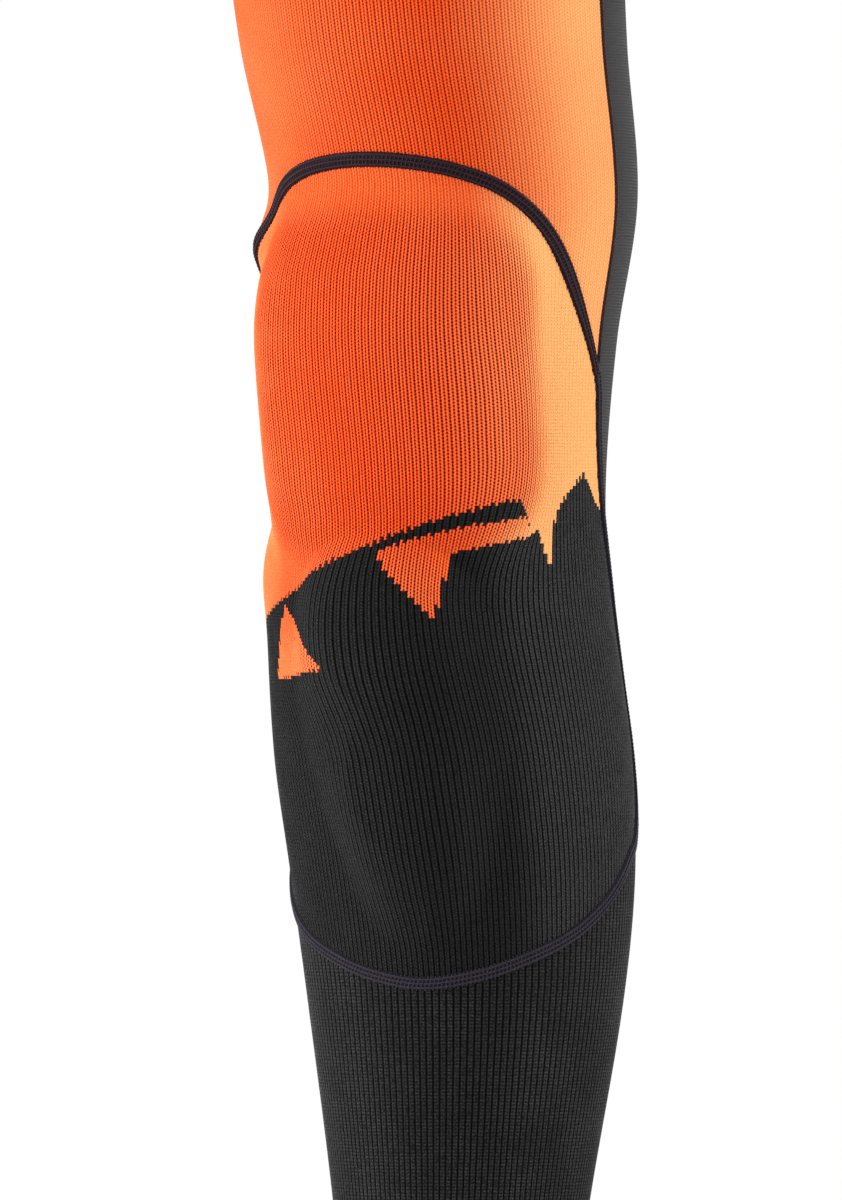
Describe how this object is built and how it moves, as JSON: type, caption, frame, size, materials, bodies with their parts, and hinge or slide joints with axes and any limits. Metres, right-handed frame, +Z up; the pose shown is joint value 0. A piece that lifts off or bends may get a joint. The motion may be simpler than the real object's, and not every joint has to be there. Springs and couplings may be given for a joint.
{
  "type": "knee guard sleeve",
  "caption": "Long knitted compression sleeve for knee and shin, with a soft segmented impact pad in a front pocket and gripping elastic cuffs.",
  "frame": {"origin": "centre of the knee inside the sleeve, at the height of its bend line", "axes": "+Z up along the thigh, -Y out through the kneecap, +X to the side that is on the right when the knee points at the viewer"},
  "size_m": [0.1532, 0.1683, 0.544],
  "materials": {
    "orange_knit": "fine weft knit, matt",
    "two_tone_knit": "open rib knit, orange over black",
    "charcoal_mesh": "fine ventilated knit, matt",
    "black_rib_knit": "rib knit, matt",
    "charcoal_welt": "double elastic welt",
    "black_welt": "double elastic welt",
    "navy_thread": "flatlock stitching",
    "lining_mesh": "soft brushed lining",
    "silicone": "satin silicone print",
    "impact_foam": "satin moulded viscoelastic foam",
    "soft_foam": "matt open-cell foam",
    "carrier_foam": "matt thin foam sheet"
  },
  "bodies": {
    "thigh": {"thigh_panel": "orange_knit", "top_cuff": "charcoal_welt", "thigh_grip_upper": "silicone", "thigh_grip_lower": "silicone", "top_cuff_seam": "navy_thread", "upper_arch_seam": "navy_thread", "left_back_seam": "navy_thread", "right_back_seam": "navy_thread", "left_side_seam": "navy_thread", "right_side_seam": "navy_thread", "back_panel": "charcoal_mesh", "knee_panel": "two_tone_knit", "pocket_lining": "lining_mesh", "pad_carrier": "carrier_foam", "pad_thigh_flap": "impact_foam"},
    "knee_cup": {"pad_knee_cup": "impact_foam", "knee_cushion": "soft_foam"},
    "shin": {"calf_sleeve": "black_rib_knit", "bottom_cuff": "black_welt", "calf_grip": "silicone", "bottom_cuff_seam": "navy_thread", "lower_arch_seam": "navy_thread", "calf_back_seam": "navy_thread", "pad_shin_upper": "impact_foam", "pad_shin_lower": "impact_foam"}
  },
  "joints": [
    {"name": "knee_flex", "type": "hinge", "parent": "thigh", "child": "shin", "pos_m": [0, 0, 0], "axis": [1, 0, 0], "range_deg": [0, 90], "stiffness_Nm_per_rad": 1.2, "deforming": ["knee_panel", "back_panel", "pocket_lining", "pad_carrier", "left_side_seam", "right_side_seam"]},
    {"name": "cup_track", "type": "hinge", "parent": "thigh", "child": "knee_cup", "pos_m": [0, 0, 0], "axis": [1, 0, 0], "range_deg": [0, 45]}
  ],
  "couplings": [
    {"joint": "cup_track", "follows": "knee_flex", "ratio": 0.5}
  ]
}
